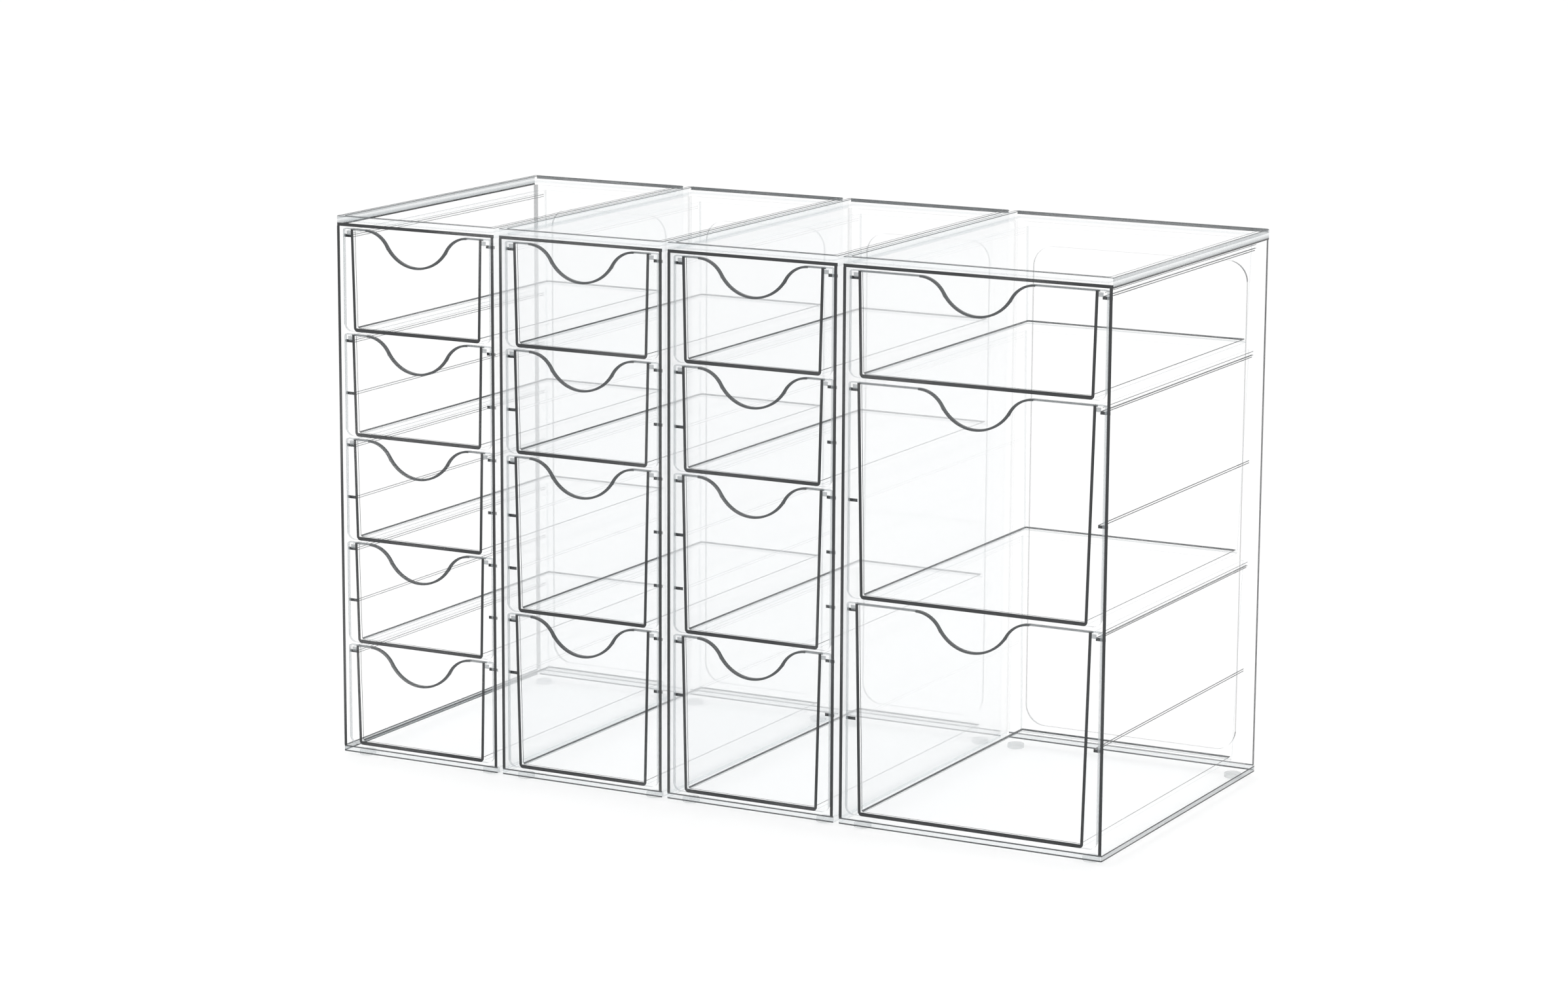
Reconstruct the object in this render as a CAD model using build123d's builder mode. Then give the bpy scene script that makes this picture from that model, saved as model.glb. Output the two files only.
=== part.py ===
from build123d import *

import os
from math import radians, tan

# Clear plastic craft stamp drawers: four separate towers that stand side by side.
#
# Towers 1 to 3 are narrow and tower 4 is half as wide again; all have one depth and one height.
# A tower is a wall shell (two sides and a back with a rounded window), a top cover with a raised
# stacking lip, a base tray with a low rim, and four round feet. Ribs on the inside of the side
# walls are the rails. Each drawer is one moulding: a front plate that hides the rails, a drafted
# tub behind it, and a flange along the top of each side that rests on a pair of rails. The front
# plate's top edge dips in a smooth wave that makes the finger pull.
#
# Rails stand at half steps of the drawer pitch, so drawers of two, three or four half steps fit.
# Frame: X to the right, Y to the back, Z up. Origin: centre of the footprint, under the feet.

os.makedirs("parts", exist_ok=True)

# ---------------------------------------------------------------- driving dimensions (mm)
HEIGHT = 325.0            # underside of the base tray to the top of the lip
NARROW_W = 108.5          # outside width of towers 1 to 3
WIDE_W = 163.0            # outside width of tower 4
DEPTH = 225.0             # outside depth
TOWER_GAP = 3.2           # air between neighbouring towers
LAP = 0.25                # cover and base stand this far proud of the walls, sides and back
WALL = 1.9                # side walls of the shell
BACK_WALL = 2.0
BACK_CORNER_R = 2.5       # outer back corners, in plan
FRONT_CORNER_R = 0.8      # outer front corners, in plan

COVER_T = 2.0             # plate of the top cover
LIP_H = 4.0               # lip above that plate
LIP_SIDE_T = 3.5          # lip thickness at the sides
LIP_END_T = 3.0           # lip thickness at the front and back
LIP_COVE = 1.2            # cove between lip and plate

BASE_H = 4.0              # outside height of the base tray
FLOOR_T = 2.5             # floor of the base tray
BASE_RIM_T = 1.9          # rim of the base tray

FOOT_D = 10.0
FOOT_H = 2.5
FOOT_FROM_SIDE = 10.5     # foot centre from the side
FOOT_FROM_END = 10.0      # foot centre from the front and back

HALF_STEP = 31.4          # rail pitch
RAIL_1_DROP = 11.2        # first rail's top below the top of the lip
RAIL_REACH = 5.95         # rail, out from the wall
RAIL_T = 1.8
RAIL_SET_BACK = 4.5       # rail's front end behind the tower's front

FRONT_DROP = 7.3          # top drawer front's edge below the top of the lip
FRONT_SET_BACK = 1.2      # drawer front behind the tower's front
FRONT_T = 2.0
FRONT_SIDE_GAP = 1.45     # air between front plate and wall
FRONT_LOW_R = 5.0
FRONT_TOP_R = 1.3
NARROW_DRAWER_GAP = 1.5   # air below a narrow drawer's front
WIDE_DRAWER_GAP = 2.5     # air below a wide drawer's front

TUB_SIDE_GAP = 6.9        # tub side from the wall, at the flange
TUB_WALL = 1.5
TUB_FLOOR = 2.0
TUB_BACK_GAP = 1.0
TUB_DRAFT = 1.3           # degrees
TUB_LOW_R = 2.5           # tub's lower outer edges
TUB_BACK_R = 2.5          # tub's upright back corners
TUB_INNER_R = 1.2
FLANGE_REACH = 2.9        # flange, out from the tub side
FLANGE_T = 2.5
RUN_GAP = 0.1             # flange above rail

WAVE_HALF = 35.0          # finger pull, centre to shoulder
WAVE_TURN = 20.0          # finger pull, centre to where the curve turns over
WAVE_DEPTH = 20.0

WINDOW_SIDE = 13.0        # back window's border at each side
WINDOW_TOP = 20.0         # back window's edge below the top of the lip
WINDOW_LOW = 11.0         # back window's edge above the underside of the base
WINDOW_R = 12.5

# tower: number, width, air below a front, drawers in half steps (top to bottom), rail positions
TOWERS = [
    (1, NARROW_W, NARROW_DRAWER_GAP, [2, 2, 2, 2, 2], [0, 2, 3, 4, 5, 6, 7, 8]),
    (2, NARROW_W, NARROW_DRAWER_GAP, [2, 2, 3, 3], [0, 2, 3, 4, 5, 6, 7, 8]),
    (3, NARROW_W, NARROW_DRAWER_GAP, [2, 2, 3, 3], [0, 2, 3, 4, 5, 6, 7, 8]),
    (4, WIDE_W, WIDE_DRAWER_GAP, [2, 4, 4], [0, 2, 4, 6, 8]),
]

# ---------------------------------------------------------------- derived levels
Z_BASE = FOOT_H
Z_SHELL = Z_BASE + BASE_H
Z_LIP = Z_BASE + HEIGHT
Z_DECK = Z_LIP - LIP_H
Z_COVER = Z_DECK - COVER_T
Y_FRONT = -DEPTH / 2
Y_BACK = DEPTH / 2
Y_SHELL_BACK = Y_BACK - LAP
TOTAL_W = sum(t[1] for t in TOWERS) + TOWER_GAP * (len(TOWERS) - 1)


def plan_outline(xc, width):
    """Plan of a cover or base: nearly square at the front, rounded at the back."""
    with BuildSketch() as plan:
        with Locations((xc, 0)):
            Rectangle(width, DEPTH)
        fillet(plan.vertices().group_by(Axis.Y)[0], FRONT_CORNER_R)
        fillet(plan.vertices().group_by(Axis.Y)[-1], BACK_CORNER_R)
    return plan.sketch


def make_shell(xc, width, rails):
    """Side walls, back wall, rails and the back window, in one moulding."""
    outer = width - 2 * LAP
    inner = outer - 2 * WALL
    shell_d = Y_SHELL_BACK - Y_FRONT
    shell_yc = (Y_SHELL_BACK + Y_FRONT) / 2
    with BuildPart() as shell:
        with BuildSketch(Plane.XY.offset(Z_SHELL)) as walls:
            with Locations((xc, shell_yc)):
                Rectangle(outer, shell_d)
            fillet(walls.vertices().group_by(Axis.Y)[-1], BACK_CORNER_R - LAP)
            with Locations((xc, shell_yc - BACK_WALL)):
                Rectangle(inner, shell_d, mode=Mode.SUBTRACT)
        extrude(amount=Z_COVER - Z_SHELL)
        rail_y0 = Y_FRONT + RAIL_SET_BACK
        rail_y1 = Y_SHELL_BACK - BACK_WALL + 0.5
        for k in rails:
            top = Z_LIP - RAIL_1_DROP - k * HALF_STEP
            with BuildSketch(Plane.XY.offset(top - RAIL_T)):
                for s in (-1, 1):
                    with Locations((xc + s * (inner / 2 - RAIL_REACH / 2 + 0.25), (rail_y0 + rail_y1) / 2)):
                        Rectangle(RAIL_REACH + 0.5, rail_y1 - rail_y0)
            extrude(amount=RAIL_T)
        low, high = Z_BASE + WINDOW_LOW, Z_LIP - WINDOW_TOP
        with BuildSketch(Plane.XZ.offset(-(Y_SHELL_BACK + 1))):
            with Locations((xc, (low + high) / 2)):
                RectangleRounded(width - 2 * WINDOW_SIDE, high - low, WINDOW_R)
        extrude(amount=BACK_WALL + 2, mode=Mode.SUBTRACT)
    return shell


def make_cover(xc, width):
    """Top plate with the raised lip that keeps a tower stacked on it in place."""
    plan = plan_outline(xc, width)
    with BuildPart() as cover:
        with BuildSketch(Plane.XY.offset(Z_COVER)):
            add(plan)
        extrude(amount=COVER_T + LIP_H)
        with BuildSketch(Plane.XY.offset(Z_DECK)):
            with Locations((xc, 0)):
                RectangleRounded(width - 2 * LIP_SIDE_T, DEPTH - 2 * LIP_END_T, 1.6)
        extrude(amount=LIP_H, mode=Mode.SUBTRACT)
        fillet(cover.edges().filter_by_position(Axis.Z, Z_DECK - 0.01, Z_DECK + 0.01), LIP_COVE)
        fillet(cover.edges().filter_by_position(Axis.Z, Z_LIP - 0.01, Z_LIP + 0.01), 0.5)
    return cover


def make_base(xc, width):
    """Floor with a low rim; the shell stands on the rim, and the lowest drawer passes over its front."""
    plan = plan_outline(xc, width)
    with BuildPart() as base:
        with BuildSketch(Plane.XY.offset(Z_BASE)):
            add(plan)
        extrude(amount=BASE_H)
        rim = BASE_RIM_T + LAP
        with BuildSketch(Plane.XY.offset(Z_BASE + FLOOR_T)):
            with Locations((xc, 0)):
                RectangleRounded(width - 2 * rim, DEPTH - 2 * rim, 1.0)
        extrude(amount=BASE_H - FLOOR_T, mode=Mode.SUBTRACT)
        fillet(base.edges().filter_by_position(Axis.Z, Z_BASE - 0.01, Z_BASE + 0.01), 0.5)
    return base


def make_feet(xc, width):
    """Four round feet under the corners."""
    with BuildPart() as feet:
        with BuildSketch(Plane.XY):
            with Locations((xc, 0)):
                with GridLocations(width - 2 * FOOT_FROM_SIDE, DEPTH - 2 * FOOT_FROM_END, 2, 2):
                    Circle(FOOT_D / 2)
        extrude(amount=FOOT_H)
        fillet(feet.edges().filter_by_position(Axis.Z, -0.01, 0.01), 0.6)
    return feet


def front_outline(xc, top, low, plate_w):
    """Drawer front in X and Z, with the wave in its top edge."""
    half = plate_w / 2
    slope = WAVE_DEPTH / WAVE_HALF            # arcs of equal slope meet without a corner
    z_turn = top - (WAVE_HALF - WAVE_TURN) * slope
    with BuildSketch(Plane.XZ) as front:
        with BuildLine():
            Line((xc - half, top), (xc - WAVE_HALF, top))
            TangentArc((xc - WAVE_HALF, top), (xc - WAVE_TURN, z_turn), tangent=(1, 0))
            ThreePointArc((xc - WAVE_TURN, z_turn), (xc, top - WAVE_DEPTH), (xc + WAVE_TURN, z_turn))
            TangentArc((xc + WAVE_HALF, top), (xc + WAVE_TURN, z_turn), tangent=(-1, 0))
            Line((xc + WAVE_HALF, top), (xc + half, top))
            Line((xc + half, top), (xc + half, low))
            Line((xc + half, low), (xc - half, low))
            Line((xc - half, low), (xc - half, top))
        make_face()
        corners = front.vertices().sort_by(Axis.X)
        outer = corners[:2] + corners[-2:]
        fillet([v for v in outer if v.Y < (top + low) / 2], FRONT_LOW_R)
        fillet([v for v in front.vertices() if v.Y > top - 0.01 and abs(v.X - xc) > half - 0.01], FRONT_TOP_R)
    return front.sketch


def make_drawer(xc, width, top, height):
    """One drawer: front plate, drafted tub, and a flange along the top of each side."""
    inner = width - 2 * LAP - 2 * WALL
    low = top - height
    z_flange = Z_LIP - RAIL_1_DROP + RUN_GAP + FLANGE_T - (Z_LIP - FRONT_DROP - top)
    y0 = Y_FRONT + FRONT_SET_BACK
    y_tub = y0 + FRONT_T
    y_end = Y_SHELL_BACK - BACK_WALL - TUB_BACK_GAP
    half_top = inner / 2 - TUB_SIDE_GAP
    draft = tan(radians(TUB_DRAFT))
    zf = low + TUB_FLOOR
    outline = front_outline(xc, top, low, inner - 2 * FRONT_SIDE_GAP)

    def section(z, inset):
        """Half width and back end of the drafted tub at a height, drawn in by inset."""
        pull = (z_flange - z) * draft
        return half_top - pull - inset, y_end - pull - inset

    with BuildPart() as drawer:
        for z in (z_flange, low):
            half, back = section(z, 0)
            with BuildSketch(Plane.XY.offset(z)):
                with Locations((xc, (y_tub - 1 + back) / 2)):
                    Rectangle(2 * half, back - y_tub + 1)
        loft()
        upright = drawer.edges().filter_by(lambda e: abs(e.tangent_at(0.5).Z) > 0.9)
        fillet(upright.group_by(Axis.Y)[-1], TUB_BACK_R)
        under = drawer.edges().filter_by_position(Axis.Z, low - 0.01, low + 0.01)
        fillet(under.sort_by(Axis.Y)[1:], TUB_LOW_R)
        for z in (z_flange, zf):
            half, back = section(z, TUB_WALL)
            with BuildSketch(Plane.XY.offset(z)):
                with Locations((xc, (y_tub - 2 + back) / 2)):
                    Rectangle(2 * half, back - y_tub + 2)
        loft(mode=Mode.SUBTRACT)
        bottom = drawer.edges().filter_by_position(Axis.Z, zf - 0.01, zf + 0.01)
        fillet(bottom.sort_by(Axis.Y)[1:], TUB_INNER_R)
        flange_y1 = y_end - TUB_BACK_R - 0.5
        with BuildSketch(Plane.XY.offset(z_flange - FLANGE_T)):
            for s in (-1, 1):
                with Locations((xc + s * (half_top + FLANGE_REACH / 2 - 0.25), (y_tub - 0.5 + flange_y1) / 2)):
                    Rectangle(FLANGE_REACH + 0.5, flange_y1 - y_tub + 0.5)
        extrude(amount=FLANGE_T)
        with BuildSketch(Plane.XZ.offset(-(y0 + FRONT_T))):
            add(outline)
        extrude(amount=FRONT_T)
    return drawer


def write(builder, name):
    builder.part.label = name
    export_step(builder.part, f"parts/{name}.step")


x_left = -TOTAL_W / 2
for number, width, air, drawers, rails in TOWERS:
    xc = x_left + width / 2
    write(make_shell(xc, width, rails), f"tower_{number}_shell")
    write(make_cover(xc, width), f"tower_{number}_top_cover")
    write(make_base(xc, width), f"tower_{number}_base")
    write(make_feet(xc, width), f"tower_{number}_feet")
    used = 0
    for place, steps in enumerate(drawers, 1):
        top = Z_LIP - FRONT_DROP - used * HALF_STEP
        write(make_drawer(xc, width, top, steps * HALF_STEP - air), f"tower_{number}_drawer_{place}")
        used += steps
    x_left += width + TOWER_GAP
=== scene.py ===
import math

import bpy
from mathutils import Matrix, Vector


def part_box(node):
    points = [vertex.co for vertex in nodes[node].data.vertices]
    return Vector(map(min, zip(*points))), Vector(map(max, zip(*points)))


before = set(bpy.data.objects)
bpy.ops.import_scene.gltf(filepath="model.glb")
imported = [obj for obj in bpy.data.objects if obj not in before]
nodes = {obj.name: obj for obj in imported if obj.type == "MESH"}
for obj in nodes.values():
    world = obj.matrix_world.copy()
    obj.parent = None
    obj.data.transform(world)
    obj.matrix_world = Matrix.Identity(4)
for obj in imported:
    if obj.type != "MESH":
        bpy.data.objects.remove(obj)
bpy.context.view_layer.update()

MM = 0.001

# ---------------------------------------------------------------- node helpers


class Tree:
    """Small helper that builds a shader tree."""

    def __init__(self, name):
        self.mat = bpy.data.materials.new(name)
        self.mat.use_nodes = True
        self.nt = self.mat.node_tree
        self.nt.nodes.clear()
        self.out = self.nt.nodes.new("ShaderNodeOutputMaterial")

    def node(self, kind, **props):
        n = self.nt.nodes.new(kind)
        for k, v in props.items():
            setattr(n, k, v)
        return n

    def link(self, a, b):
        self.nt.links.new(a, b)

    def math(self, op, a, b=None, clamp=False):
        n = self.node("ShaderNodeMath", operation=op, use_clamp=clamp)
        for i, v in enumerate((a, b)):
            if v is None:
                continue
            if isinstance(v, (int, float)):
                n.inputs[i].default_value = v
            else:
                self.link(v, n.inputs[i])
        return n.outputs[0]

    def above(self, a, limit):
        return self.math("GREATER_THAN", a, limit)

    def below(self, a, limit):
        return self.math("LESS_THAN", a, limit)

    def both(self, *masks):
        m = masks[0]
        for other in masks[1:]:
            m = self.math("MULTIPLY", m, other)
        return m

    def any(self, *masks):
        m = masks[0]
        for other in masks[1:]:
            m = self.math("MAXIMUM", m, other)
        return m


def clear_plastic(name, edge_shade_mask, tint=(0.80, 0.87, 0.90), edge_shade=(0.022, 0.024, 0.026), see=0.012, edge_shade_see=1.0, painted_reflection=None):
    """Clear moulding: broad faces nearly invisible, faces seen end-on painted dark grey as painted shade (the dark
    lines that a clear wall's rim shows by internal reflection), faint flow waviness in the gloss.

    The last argument, called with (t, place, turn), gives the extra cover of the broad walls: a painted reflection,
    a whitish veil standing in for the walls' gloss mirroring the white studio.
    """
    t = Tree(name)
    tex = t.node("ShaderNodeTexCoord")
    axes = t.node("ShaderNodeSeparateXYZ")
    t.link(tex.outputs["Object"], axes.inputs[0])
    turn = t.node("ShaderNodeSeparateXYZ")
    t.link(tex.outputs["Normal"], turn.inputs[0])
    mask = edge_shade_mask(t, axes.outputs, turn.outputs)
    # slow waviness along the mould's flow, which also makes the edges' tone uneven
    flow = t.node("ShaderNodeTexNoise")
    flow.inputs["Scale"].default_value = 14.0
    flow.inputs["Detail"].default_value = 0.0
    t.link(tex.outputs["Object"], flow.inputs["Vector"])
    bump = t.node("ShaderNodeBump")
    bump.inputs["Strength"].default_value = 0.04
    bump.inputs["Distance"].default_value = 0.002
    t.link(flow.outputs[0], bump.inputs["Height"])
    p = t.node("ShaderNodeBsdfPrincipled")
    colour = t.node("ShaderNodeMix", data_type="RGBA")
    colour.inputs[6].default_value = (*tint, 1)
    # painted shade: the near-black colour and full cover of the faces seen end-on
    colour.inputs[7].default_value = (*edge_shade, 1)
    t.link(mask, colour.inputs[0])
    t.link(colour.outputs[2], p.inputs["Base Color"])
    span = edge_shade_see - see
    uneven = t.math("MULTIPLY", flow.outputs[0], 0.20)
    alpha = t.math("MULTIPLY", mask, t.math("ADD", uneven, span - 0.10))
    # painted reflection: whitish cover added on the broad walls
    if painted_reflection:
        broad = t.math("MULTIPLY", painted_reflection(t, axes.outputs, turn.outputs), t.math("SUBTRACT", 1.0, mask))
        alpha = t.math("ADD", alpha, broad)
    t.link(t.math("ADD", alpha, see, clamp=True), p.inputs["Alpha"])
    rough = t.math("MULTIPLY", flow.outputs[0], 0.06)
    t.link(t.math("ADD", rough, 0.03), p.inputs["Roughness"])
    t.link(bump.outputs[0], p.inputs["Normal"])
    p.inputs["IOR"].default_value = 1.49
    t.link(p.outputs[0], t.out.inputs[0])
    return t.mat


def soft_pad(name):
    """Soft translucent foot: matt, slightly mottled."""
    t = Tree(name)
    tex = t.node("ShaderNodeTexCoord")
    mottle = t.node("ShaderNodeTexNoise")
    mottle.inputs["Scale"].default_value = 300.0
    t.link(tex.outputs["Object"], mottle.inputs["Vector"])
    ramp = t.node("ShaderNodeValToRGB")
    ramp.color_ramp.elements[0].color = (0.40, 0.42, 0.43, 1)
    ramp.color_ramp.elements[1].color = (0.68, 0.70, 0.71, 1)
    t.link(mottle.outputs[0], ramp.inputs[0])
    p = t.node("ShaderNodeBsdfPrincipled")
    t.link(ramp.outputs[0], p.inputs["Base Color"])
    p.inputs["Roughness"].default_value = 0.55
    p.inputs["Alpha"].default_value = 0.32
    t.link(p.outputs[0], t.out.inputs[0])
    return t.mat


# ---------------------------------------------------------------- where painted shade draws the clear plastic's dark lines
# Lengths in metres. A node's place comes from its own box, so the same rules serve every tower.

TUB_IN = 5.45 * MM        # tub side, in from the edge of the drawer's front
TUB_TOP = 1.3 * MM        # tub's top below the front's top
DRAFT = math.tan(math.radians(1.3))
TUB_R = 2.5 * MM
RAIL_PITCH = 31.4 * MM
WAVE_HALF, WAVE_TURN, WAVE_DEPTH = 35 * MM, 20 * MM, 20 * MM


def between(t, v, low, high):
    return t.both(t.above(v, low), t.below(v, high))


def part_way(t, mask, strength):
    return t.math("MULTIPLY", mask, strength)


def by_side(t, p, xc, left, right):
    """One strength left of xc, another right of it."""
    return t.math("ADD", t.math("MULTIPLY", t.above(p["X"], xc), right - left), left)


# Painted reflection: a whitish veil on the outer faces of the shell's side walls, with its own strength on each
# side.
def shell_painted_reflection(lo, hi, left, right):
    half = (hi.x - lo.x) / 2
    xc = (lo.x + hi.x) / 2

    def painted_reflection(t, p, n):
        inward = t.math("ABSOLUTE", t.math("SUBTRACT", p["X"], xc))
        outside = t.both(t.above(t.math("ABSOLUTE", n["X"]), 0.5), t.above(inward, half - 0.5 * MM))
        return t.both(outside, by_side(t, p, xc, left, right))

    return painted_reflection


def shell_edge_shade(lo, hi, left, right):
    half = (hi.x - lo.x) / 2
    xc = (lo.x + hi.x) / 2

    # Painted shade on the shell: dark lines on the front ends, rail tips, shelves, window and corners, stronger on
    # one side.
    def mask(t, p, n):
        nx, ny, nz = (t.math("ABSOLUTE", n[k]) for k in "XYZ")
        inward = t.math("ABSOLUTE", t.math("SUBTRACT", p["X"], xc))
        rail = by_side(t, p, xc, left, right)
        ends = t.both(t.above(ny, 0.5), t.below(p["Y"], lo.y + 1 * MM))
        rail_ends = t.both(t.above(ny, 0.5), between(t, p["Y"], lo.y + 3 * MM, lo.y + 6 * MM))
        # painted shade on a rail's tip: dark lines along its two long edges
        tip = t.both(t.above(nx, 0.5), t.below(inward, half - 5 * MM), t.below(p["Y"], hi.y - 3 * MM))
        first = hi.z + 6 * MM - 11.2 * MM
        down = t.math("MODULO", t.math("SUBTRACT", first, p["Z"]), RAIL_PITCH)
        long_edge = t.any(t.below(down, 0.55 * MM), t.above(down, 1.3 * MM))
        shelf = t.both(t.above(nz, 0.5), t.below(inward, half - 1.5 * MM), t.below(p["Y"], hi.y - 3 * MM))
        window = t.both(t.below(ny, 0.5), t.above(p["Y"], hi.y - 1.9 * MM), t.below(inward, half - 6 * MM))
        corner = t.both(between(t, nx, 0.2, 0.995), t.above(p["Y"], hi.y - 2.3 * MM), by_side(t, p, xc, left, right))
        return t.any(
            part_way(t, ends, 1.0), rail_ends,
            t.both(tip, long_edge, rail), part_way(t, tip, 0.03),
            part_way(t, shelf, 0.03), part_way(t, window, 0.62), part_way(t, corner, 0.9),
        )

    return mask


def cover_edge_shade(lo, hi, left, right):
    xc = (lo.x + hi.x) / 2

    # Painted shade on the top cover: dark end plate, side faces, seam, lip lines and the cove in the inside corner.
    def mask(t, p, n):
        nx, ny, nz = (t.math("ABSOLUTE", n[k]) for k in "XYZ")
        outer_x = t.any(t.below(p["X"], lo.x + 0.3 * MM), t.above(p["X"], hi.x - 0.3 * MM))
        outer_y = t.any(t.below(p["Y"], lo.y + 0.3 * MM), t.above(p["Y"], hi.y - 0.3 * MM))
        height = t.math("DIVIDE", t.math("SUBTRACT", p["Z"], lo.z), hi.z - lo.z)
        end_plate = t.both(t.below(p["Y"], lo.y + 0.3 * MM), t.above(ny, 0.5), t.below(p["Z"], lo.z + 1.9 * MM))
        outer = by_side(t, p, xc, left, right)
        at_back = t.above(p["Y"], hi.y - 0.3 * MM)
        lip_outside = t.both(t.below(nz, 0.5), t.above(p["Z"], hi.z - 2.2 * MM))
        # painted shade on the outer side faces: darker towards the bottom, fading upward
        fade = t.math("POWER", t.math("SUBTRACT", 1.0, height), 1.4)
        side = t.both(outer_x, t.above(nx, 0.5), fade, outer)
        seam = t.both(outer_x, t.below(p["Z"], lo.z + 0.9 * MM), outer)
        lip_line = t.both(between(t, nz, 0.2, 0.96), t.above(p["Z"], hi.z - 0.6 * MM))
        cove = t.both(between(t, nz, 0.1, 0.97), between(t, p["Z"], lo.z + 1.9 * MM, lo.z + 3.3 * MM))
        return t.any(
            part_way(t, end_plate, 1.0), side, seam,
            part_way(t, lip_line, 0.9), part_way(t, cove, 0.26),
            part_way(t, t.both(lip_outside, at_back), 0.9),
            part_way(t, t.both(lip_outside, outer_x, outer), 0.6), part_way(t, t.both(lip_outside, outer_y), 0.12),
        )

    return mask


def base_edge_shade(lo, hi, left, right):
    xc = (lo.x + hi.x) / 2

    # Painted shade on the base: dark lines along the outer faces, stronger on one side, and a trace on the rim.
    def mask(t, p, n):
        nx, ny, nz = (t.math("ABSOLUTE", n[k]) for k in "XYZ")
        outer_x = t.any(t.below(p["X"], lo.x + 0.3 * MM), t.above(p["X"], hi.x - 0.3 * MM))
        outer_y = t.any(t.below(p["Y"], lo.y + 0.3 * MM), t.above(p["Y"], hi.y - 0.3 * MM))
        face = t.both(t.any(outer_x, outer_y), t.below(nz, 0.5))
        rise = t.math("SUBTRACT", p["Z"], lo.z)
        lines = t.any(t.below(rise, 1.1 * MM), t.above(rise, 3.2 * MM))
        rim = t.both(t.above(nz, 0.5), t.above(p["Z"], hi.z - 0.2 * MM))
        outer = by_side(t, p, xc, left, right)
        return t.any(
            part_way(t, t.both(face, outer_y, lines), 0.95), t.both(face, outer_x, lines, outer),
            part_way(t, t.both(face, outer_y), 0.3), part_way(t, t.both(face, outer_x, outer), 0.6), part_way(t, rim, 0.12),
        )

    return mask


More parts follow.
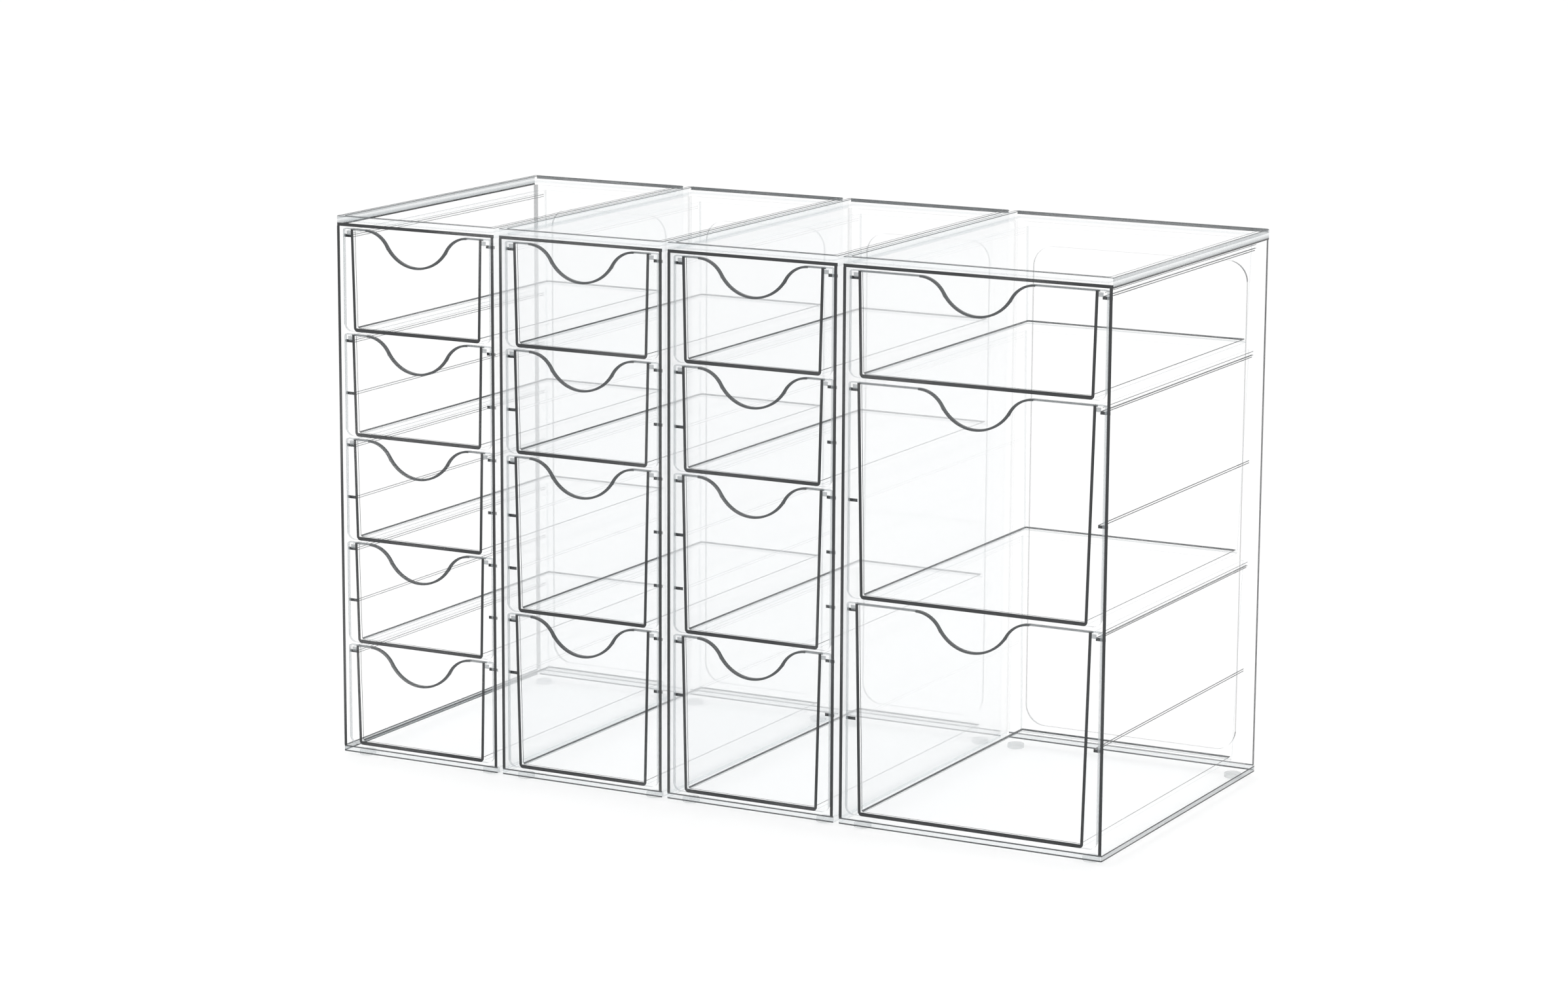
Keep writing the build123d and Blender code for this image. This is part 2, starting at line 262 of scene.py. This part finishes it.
def drawer_edge_shade(lo, hi, left, right):
    half = (hi.x - lo.x) / 2
    xc = (lo.x + hi.x) / 2
    plate_back = lo.y + 2.05 * MM

    # Painted shade on the drawer: dark lines standing in for the faces seen end-on, and for the tub's walls seen
    # through the front.
    def mask(t, p, n):
        nx, ny, nz = (t.math("ABSOLUTE", n[k]) for k in "XYZ")
        z = p["Z"]
        inward = t.math("ABSOLUTE", t.math("SUBTRACT", p["X"], xc))
        plate = t.below(p["Y"], plate_back)
        face = t.both(plate, t.above(ny, 0.5))
        # painted shade on the front's faces where the tub's walls and floor stand end-on behind it: a U with rounded
        # lower corners
        pull = t.math("MULTIPLY", t.math("SUBTRACT", hi.z - TUB_TOP, z), DRAFT)
        side = t.math("SUBTRACT", inward, t.math("SUBTRACT", half - TUB_IN, pull))
        under = t.math("SUBTRACT", lo.z, z)
        qa = t.math("ADD", side, TUB_R)
        qb = t.math("ADD", under, TUB_R)
        pa, pb = t.math("MAXIMUM", qa, 0.0), t.math("MAXIMUM", qb, 0.0)
        away = t.math("SQRT", t.math("ADD", t.math("MULTIPLY", pa, pa), t.math("MULTIPLY", pb, pb)))
        inside = t.math("MINIMUM", t.math("MAXIMUM", qa, qb), 0.0)
        depth = t.math("SUBTRACT", t.math("ADD", away, inside), TUB_R)
        walls = between(t, depth, -1.8 * MM, 0.0)
        floor = t.both(t.below(depth, 0.0), t.below(z, lo.z + 2.2 * MM))
        section = t.both(face, t.any(walls, floor), t.below(z, hi.z - 0.4 * MM))
        # painted shade along the wave's cut: one arc in the middle, one at each shoulder
        r1 = (WAVE_TURN**2 + (WAVE_TURN * WAVE_DEPTH / WAVE_HALF)**2) / (2 * WAVE_TURN * WAVE_DEPTH / WAVE_HALF)
        s = WAVE_HALF - WAVE_TURN
        r2 = (s**2 + (s * WAVE_DEPTH / WAVE_HALF)**2) / (2 * s * WAVE_DEPTH / WAVE_HALF)

        def radius(u, cz):
            dz = t.math("SUBTRACT", z, cz)
            return t.math("SQRT", t.math("ADD", t.math("MULTIPLY", u, u), t.math("MULTIPLY", dz, dz)))

        middle = t.both(t.below(inward, WAVE_TURN), t.below(radius(inward, hi.z - WAVE_DEPTH + r1), r1 + 1.3 * MM),
                        t.below(z, hi.z - (WAVE_HALF - WAVE_TURN) * WAVE_DEPTH / WAVE_HALF + 0.2 * MM))
        to_shoulder = t.math("SUBTRACT", inward, WAVE_HALF)
        shoulder = t.both(between(t, inward, WAVE_TURN, WAVE_HALF), t.above(radius(to_shoulder, hi.z - r2), r2 - 1.3 * MM),
                          t.above(z, hi.z - 12 * MM))
        wave = t.both(plate, t.any(middle, shoulder))
        flat_top = t.both(plate, t.above(inward, WAVE_HALF), t.below(side, 0.0), t.above(z, hi.z - 1.0 * MM))
        flange_end = t.both(face, between(t, side, 0.0, 2.9 * MM), between(t, z, hi.z - TUB_TOP - 2.5 * MM, hi.z - TUB_TOP))
        wave_edge = t.both(plate, t.below(ny, 0.5), t.below(inward, WAVE_HALF))
        # painted shade along the front's own outline, fainter
        outline = t.both(plate, t.below(ny, 0.5), t.above(inward, WAVE_HALF))
        rim_line = t.both(face, t.any(t.above(inward, half - 0.5 * MM), t.above(z, hi.z - 0.6 * MM)))
        # painted shade behind the front: flange edges, the floor's inside corner, the upright back corners
        behind = t.above(p["Y"], plate_back)
        flange = t.both(behind, t.above(nx, 0.95), between(t, z, hi.z - TUB_TOP - 2.6 * MM, hi.z - TUB_TOP), t.above(inward, half - TUB_IN + 1 * MM))
        drop = t.math("SUBTRACT", hi.z - TUB_TOP, z)
        flange_line = t.both(flange, t.any(t.below(drop, 0.4 * MM), t.above(drop, 2.1 * MM)))
        top = t.both(behind, t.above(nz, 0.5), t.above(z, hi.z - TUB_TOP - 0.1 * MM))
        # painted shade on the tub's inside rim, along both sides and the back
        rim_side = between(t, side, -1.6 * MM, -0.9 * MM)
        rim_back = t.both(t.above(p["Y"], hi.y - 1.6 * MM), t.below(p["Y"], hi.y - 0.9 * MM), t.below(side, 0.0))
        rim = t.both(top, t.any(rim_side, rim_back))
        inner_corner = t.both(behind, between(t, nz, 0.25, 0.95), between(t, z, lo.z + 1.9 * MM, lo.z + 3.3 * MM))
        low_corner = t.both(behind, between(t, nz, 0.5, 0.8), t.below(z, lo.z + 1.9 * MM))
        upright = t.both(behind, between(t, nx, 0.5, 0.85), t.below(nz, 0.2))
        return t.any(
            part_way(t, section, 1.0), part_way(t, wave, 0.95), part_way(t, flat_top, 0.8), part_way(t, flange_end, 0.72), part_way(t, wave_edge, 0.88),
            part_way(t, outline, 0.5), part_way(t, rim_line, 0.5),
            t.both(flange_line, by_side(t, p, xc, left, right)), part_way(t, flange, 0.02), part_way(t, top, 0.05), part_way(t, rim, 0.42),
            part_way(t, inner_corner, 0.95), part_way(t, low_corner, 0.4), part_way(t, upright, 0.3),
        )

    return mask


# The painted shade on edges next to a neighbouring tower is much fainter than on the outer ones, as those edges pick
# up the neighbour's clear wall.
# For each tower: left and right strengths of the painted shade on the rails, the cover's and base's sides and the
# flanges, and of the painted reflection on the shell's walls.
SIDES = {
    "tower_1": {"rail": (0.8, 0.25), "band": (1.0, 0.3), "flange": (0.55, 0.12), "painted_reflection": (0.0, 0.3)},
    "tower_2": {"rail": (0.3, 0.2), "band": (0.3, 0.3), "flange": (0.12, 0.12), "painted_reflection": (0.3, 0.3)},
    "tower_3": {"rail": (0.3, 0.2), "band": (0.3, 0.3), "flange": (0.12, 0.12), "painted_reflection": (0.3, 0.3)},
    "tower_4": {"rail": (0.2, 1.0), "band": (0.3, 1.0), "flange": (0.12, 0.9), "painted_reflection": (0.3, 0.0)},
}
# The shell's colour: its own faint tint where it is nearly clear, and the near-white colour of the painted
# reflection on its walls.
WALL_TINT_AND_REFLECTION = (0.985, 0.99, 0.995)

pad = soft_pad("soft_clear_pad")
for name, obj in nodes.items():
    lo, hi = (Vector(c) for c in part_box(name))
    sides = SIDES[name[:7]]
    if name.endswith("_feet"):
        mat = pad
    elif name.endswith("_shell"):
        mat = clear_plastic(name + "_plastic", shell_edge_shade(lo, hi, *sides["rail"]), tint=WALL_TINT_AND_REFLECTION, painted_reflection=shell_painted_reflection(lo, hi, *sides["painted_reflection"]))
    elif name.endswith("_top_cover"):
        mat = clear_plastic(name + "_plastic", cover_edge_shade(lo, hi, *sides["band"]), see=0.02)
    elif name.endswith("_base"):
        mat = clear_plastic(name + "_plastic", base_edge_shade(lo, hi, *sides["band"]), see=0.02)
    else:
        mat = clear_plastic(name + "_plastic", drawer_edge_shade(lo, hi, *sides["flange"]))
    if not obj.material_slots:
        obj.data.materials.append(mat)
    for slot in obj.material_slots:
        slot.material = mat
    if not name.endswith("_feet"):
        obj.visible_shadow = False

# ---------------------------------------------------------------- floor, light, camera

bpy.ops.mesh.primitive_plane_add(size=14, location=(0, 0, 0))
floor = bpy.context.object
floor.name = "studio_floor"
ft = Tree("studio_floor_white")
fp = ft.node("ShaderNodeBsdfPrincipled")
fp.inputs["Base Color"].default_value = (0.62, 0.62, 0.62, 1)
fp.inputs["Emission Color"].default_value = (1, 1, 1, 1)
fp.inputs["Emission Strength"].default_value = 0.36
fp.inputs["Roughness"].default_value = 0.7
ft.link(fp.outputs[0], ft.out.inputs[0])
floor.data.materials.append(ft.mat)

world = bpy.data.worlds.new("studio")
bpy.context.scene.world = world
world.use_nodes = True
world.node_tree.nodes["Background"].inputs["Color"].default_value = (1, 1, 1, 1)
world.node_tree.nodes["Background"].inputs["Strength"].default_value = 1.0


def area(name, where, size, power):
    data = bpy.data.lights.new(name, "AREA")
    data.size = size
    data.energy = power
    lamp = bpy.data.objects.new(name, data)
    lamp.location = where
    lamp.rotation_mode = "QUATERNION"
    lamp.rotation_quaternion = (Vector((0, 0, 0.15)) - Vector(where)).to_track_quat("-Z", "Y")
    bpy.context.scene.collection.objects.link(lamp)


area("key", (-1.0, -1.6, 2.2), 1.6, 14)

AZ, EL, ROLL = (math.radians(v) for v in (27.99, 11.37, 0.33))
forward = Vector((-math.sin(AZ) * math.cos(EL), math.cos(AZ) * math.cos(EL), -math.sin(EL)))
right = forward.cross(Vector((0, 0, 1))).normalized()
up = right.cross(forward)
r2 = right * math.cos(ROLL) + up * math.sin(ROLL)
u2 = up * math.cos(ROLL) - right * math.sin(ROLL)
cam_data = bpy.data.cameras.new("camera")
cam_data.lens = 6640 / 2395 * 36
cam_data.sensor_width = 36
cam_data.clip_start = 0.05
cam_data.clip_end = 100
cam = bpy.data.objects.new("camera", cam_data)
bpy.context.scene.collection.objects.link(cam)
cam.matrix_world = Matrix((
    (r2.x, u2.x, -forward.x, 1.17575),
    (r2.y, u2.y, -forward.y, -2.23053),
    (r2.z, u2.z, -forward.z, 0.66648),
    (0, 0, 0, 1),
))
bpy.context.scene.camera = cam

scene = bpy.context.scene
scene.view_settings.view_transform = "Standard"
scene.cycles.transparent_max_bounces = 96
scene.cycles.max_bounces = 8
scene.cycles.diffuse_bounces = 8
